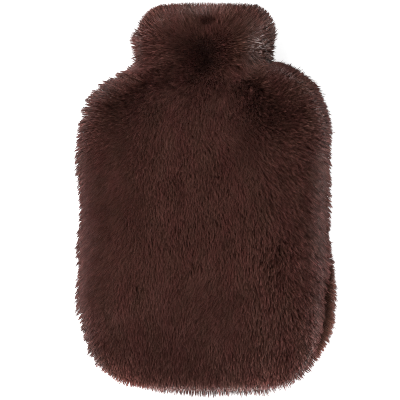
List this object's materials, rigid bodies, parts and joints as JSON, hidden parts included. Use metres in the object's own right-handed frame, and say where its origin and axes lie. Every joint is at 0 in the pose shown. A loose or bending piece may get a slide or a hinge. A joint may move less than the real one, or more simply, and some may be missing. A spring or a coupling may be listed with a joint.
{
  "type": "hot water bottle cover",
  "caption": "Deep-pile plush cover for a hot water bottle: front and back panels sewn into a pocket with a necked head that is open at the top.",
  "frame": {"origin": "on the surface the cover lies on, under the middle of its outline", "axes": "+Y from the bottom hem to the open mouth of the head, +Z from the back panel up to the front panel, +X to the right as the front is looked at with the head at the top"},
  "size_m": [0.2439, 0.37, 0.0735],
  "materials": {
    "front_plush": "dark chocolate brown deep-pile plush, soft sheen on the turned edges",
    "back_plush": "dark chocolate brown deep-pile plush, pressed flat underneath"
  },
  "bodies": {
    "root": {"front_panel": "front_plush", "back_panel": "back_plush"}
  },
  "joints": []
}
